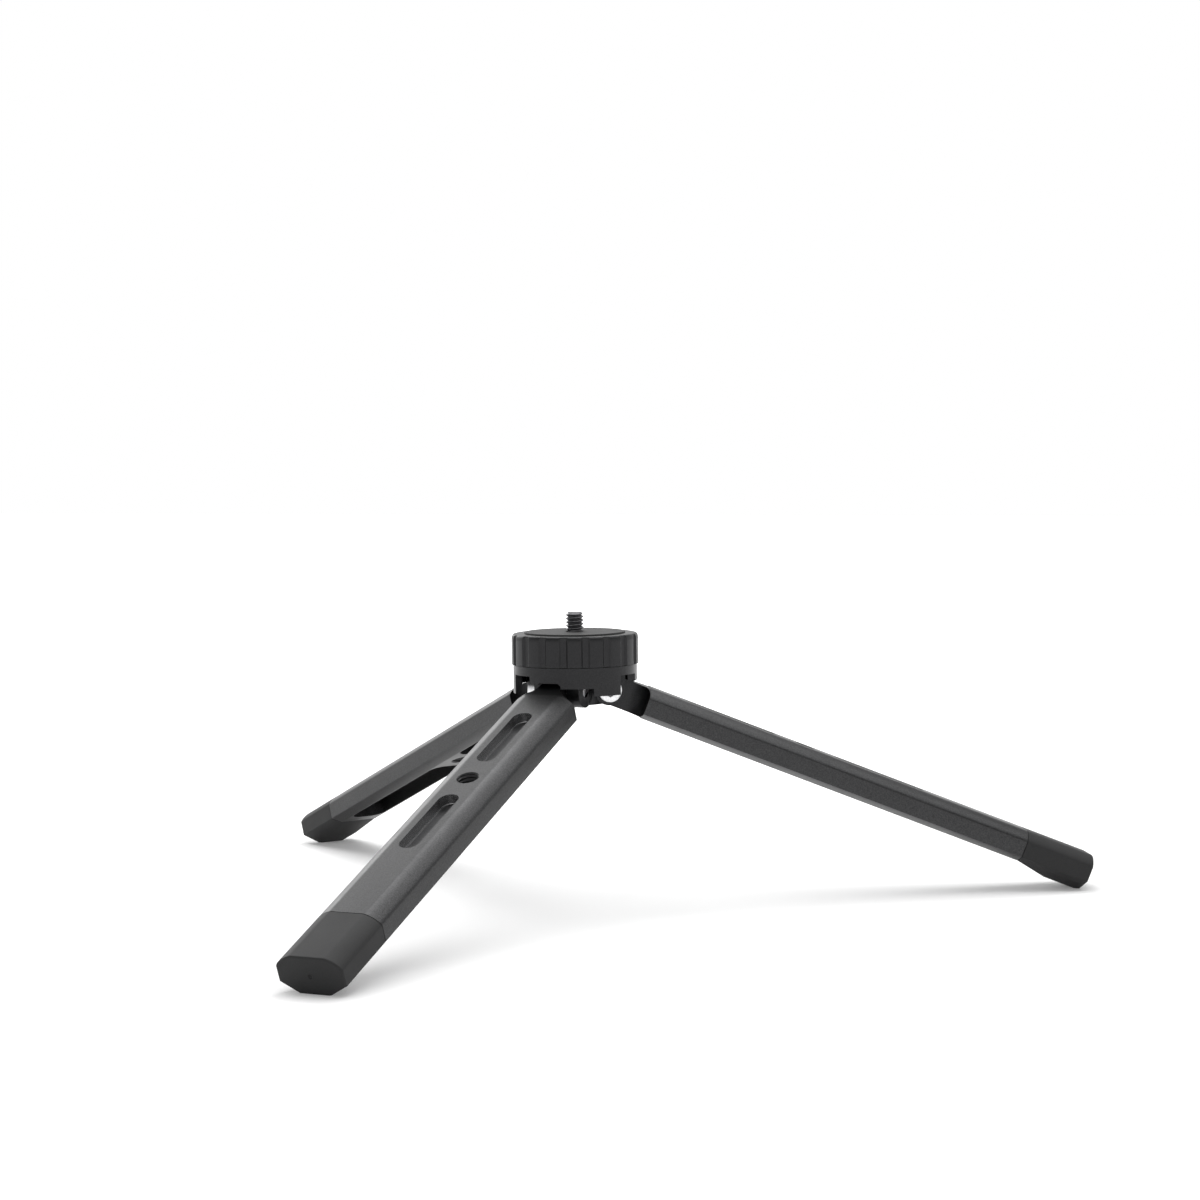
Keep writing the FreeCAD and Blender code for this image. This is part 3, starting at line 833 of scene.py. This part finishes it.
def floor_material(glow):
    """Pale floor that keeps its shadows near the tripod and turns white further off."""
    pale = 0.86
    shadows_fade = 0.2
    all_white = 1.2
    material = bpy.data.materials.new("studio_floor")
    material.use_nodes = True
    nodes = material.node_tree.nodes
    links = material.node_tree.links
    nodes.clear()
    output = nodes.new("ShaderNodeOutputMaterial")
    matt = nodes.new("ShaderNodeBsdfDiffuse")
    matt.inputs["Color"].default_value = (pale, pale, pale, 1.0)
    coords = nodes.new("ShaderNodeTexCoord")
    distance = nodes.new("ShaderNodeVectorMath")
    distance.operation = "LENGTH"
    links.new(coords.outputs["Object"], distance.inputs[0])
    white = nodes.new("ShaderNodeMapRange")
    white.inputs["From Min"].default_value = shadows_fade
    white.inputs["From Max"].default_value = all_white
    white.inputs["To Min"].default_value = glow
    white.inputs["To Max"].default_value = 1.0
    links.new(distance.outputs["Value"], white.inputs["Value"])
    path = nodes.new("ShaderNodeLightPath")
    seen = nodes.new("ShaderNodeMath")
    seen.operation = "MAXIMUM"
    links.new(path.outputs["Is Camera Ray"], seen.inputs[0])
    links.new(path.outputs["Is Glossy Ray"], seen.inputs[1])
    strength = nodes.new("ShaderNodeMath")
    strength.operation = "MULTIPLY"
    links.new(white.outputs["Result"], strength.inputs[0])
    links.new(seen.outputs["Value"], strength.inputs[1])
    shine = nodes.new("ShaderNodeEmission")
    links.new(strength.outputs["Value"], shine.inputs["Strength"])
    total = nodes.new("ShaderNodeAddShader")
    links.new(matt.outputs["BSDF"], total.inputs[0])
    links.new(shine.outputs["Emission"], total.inputs[1])
    links.new(total.outputs["Shader"], output.inputs["Surface"])
    return material


def studio_world():
    """White low down, where it is the backdrop, and dim overhead, where the room is dark round the lamp."""
    white_up_to = 0.3
    dim_from = 0.6
    dim = 0.28
    world = bpy.data.worlds.new("studio")
    world.use_nodes = True
    nodes = world.node_tree.nodes
    links = world.node_tree.links
    coords = nodes.new("ShaderNodeTexCoord")
    split = nodes.new("ShaderNodeSeparateXYZ")
    links.new(coords.outputs["Generated"], split.inputs["Vector"])
    levels = nodes.new("ShaderNodeMapRange")
    levels.interpolation_type = "SMOOTHSTEP"
    levels.inputs["From Min"].default_value = white_up_to
    levels.inputs["From Max"].default_value = dim_from
    levels.inputs["To Min"].default_value = 1.0
    levels.inputs["To Max"].default_value = dim
    links.new(split.outputs["Z"], levels.inputs["Value"])
    links.new(levels.outputs["Result"], nodes["Background"].inputs["Strength"])
    nodes["Background"].inputs["Color"].default_value = (1.0, 1.0, 1.0, 1.0)
    return world


def area_lamp(name, place, size, power):
    """Square soft lamp that looks at the tripod."""
    bpy.ops.object.light_add(type="AREA", location=place)
    lamp = bpy.context.object
    lamp.name = name
    lamp.data.size = size
    lamp.data.energy = power
    lamp.rotation_euler = (Vector(LAMP_AIM) - Vector(place)).to_track_quat("-Z", "Y").to_euler()


class TRIPOD_OT_stage(bpy.types.Operator):
    """Add the floor, the lamps, the world and the camera"""
    bl_idname = "tripod.stage"
    bl_label = "Studio stage"

    def execute(self, context):
        look = context.scene.tripod_stage
        bpy.ops.object.select_all(action="DESELECT")
        bpy.ops.mesh.primitive_plane_add(size=8.0)
        floor = context.object
        floor.name = "studio_floor"
        floor.data.materials.append(floor_material(look.floor_glow))
        context.scene.world = studio_world()
        area_lamp("key_lamp", *KEY_LAMP, look.key)
        area_lamp("spot_lamp", *SPOT_LAMP, look.spot)
        area_lamp("rim_lamp", *RIM_LAMP, look.rim)

        camera_data = bpy.data.cameras.new("photo_camera")
        camera_data.lens = look.lens
        camera_data.sensor_width = 36.0
        camera_data.clip_start = 0.05
        camera = bpy.data.objects.new("photo_camera", camera_data)
        context.scene.collection.objects.link(camera)
        turn = Matrix.Rotation(look.camera_turn, 4, "Z")
        tilt = Matrix.Rotation(math.pi / 2 - look.camera_pitch, 4, "X")
        roll = Matrix.Rotation(look.camera_roll, 4, "Z")
        camera.matrix_world = Matrix.Translation(look.camera_place) @ turn @ tilt @ roll
        context.scene.camera = camera
        context.scene.view_settings.view_transform = "Standard"
        return {"FINISHED"}


PIECE_OPERATORS = (
    TRIPOD_OT_leg_bars,
    TRIPOD_OT_foot_caps,
    TRIPOD_OT_hub,
    TRIPOD_OT_hinge_screws,
    TRIPOD_OT_grip_ring,
    TRIPOD_OT_top_pad,
    TRIPOD_OT_camera_screw,
    TRIPOD_OT_stage,
)


class TRIPOD_PT_sidebar(bpy.types.Panel):
    """Tripod pieces, colours and stage"""
    bl_idname = "TRIPOD_PT_sidebar"
    bl_label = "Mini tripod"
    bl_space_type = "VIEW_3D"
    bl_region_type = "UI"
    bl_category = "Tripod"

    def draw(self, context):
        for operator in PIECE_OPERATORS:
            self.layout.operator(operator.bl_idname)
        for group in ("tripod_leg", "tripod_top", "tripod_finish", "tripod_stage"):
            settings = getattr(context.scene, group)
            box = self.layout.box()
            for key in settings.bl_rna.properties.keys():
                if key not in ("rna_type", "name"):
                    box.prop(settings, key)


PROPERTY_GROUPS = {
    "tripod_leg": LegSizes,
    "tripod_top": TopSizes,
    "tripod_finish": Finishes,
    "tripod_stage": StageLook,
}
CLASSES = (*PROPERTY_GROUPS.values(), *PIECE_OPERATORS, TRIPOD_PT_sidebar)


def register():
    for cls in CLASSES:
        bpy.utils.register_class(cls)
    for name, group in PROPERTY_GROUPS.items():
        setattr(bpy.types.Scene, name, bpy.props.PointerProperty(type=group))


def unregister():
    for name in PROPERTY_GROUPS:
        delattr(bpy.types.Scene, name)
    for cls in reversed(CLASSES):
        bpy.utils.unregister_class(cls)


def main():
    register()
    bpy.ops.tripod.leg_bars()
    bpy.ops.tripod.foot_caps()
    bpy.ops.tripod.hub()
    bpy.ops.tripod.hinge_screws()
    bpy.ops.tripod.grip_ring()
    bpy.ops.tripod.top_pad()
    bpy.ops.tripod.camera_screw()
    bpy.ops.tripod.stage()


if __name__ == "__main__":
    main()
